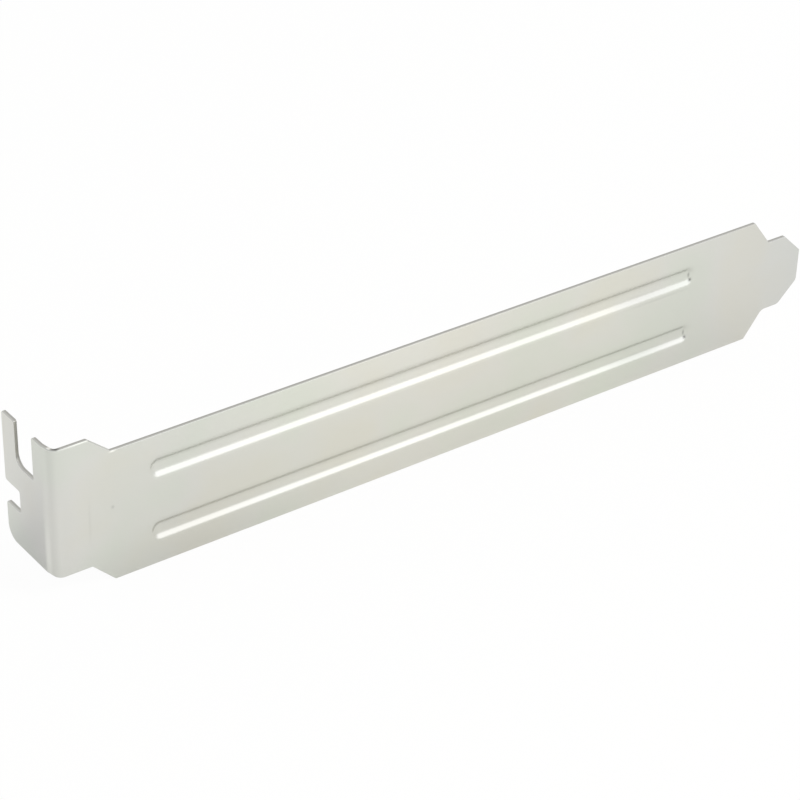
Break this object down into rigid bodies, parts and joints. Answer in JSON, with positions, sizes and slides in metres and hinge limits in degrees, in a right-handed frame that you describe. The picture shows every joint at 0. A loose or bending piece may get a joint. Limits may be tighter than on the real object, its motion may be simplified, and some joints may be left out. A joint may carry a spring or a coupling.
{
  "type": "pci slot cover bracket",
  "caption": "Full-height blanking cover for an expansion slot: a folded strip of plated sheet steel with pressed stiffening beads, an offset screw tab with open slot and notch, and a tongue.",
  "frame": {"origin": "centre of the screw's seat in the tab's open slot, on the tab's seating face", "axes": "+X along the strip from the tab to the tongue, +Y from the plate towards the tab's free edge, +Z across the strip towards the slot's mouth"},
  "size_m": [0.12, 0.0114, 0.021],
  "materials": {
    "plated_steel": "bright plated cold-rolled steel, satin; cut edges a little darker"
  },
  "bodies": {
    "root": {"bracket": "plated_steel"}
  },
  "joints": []
}
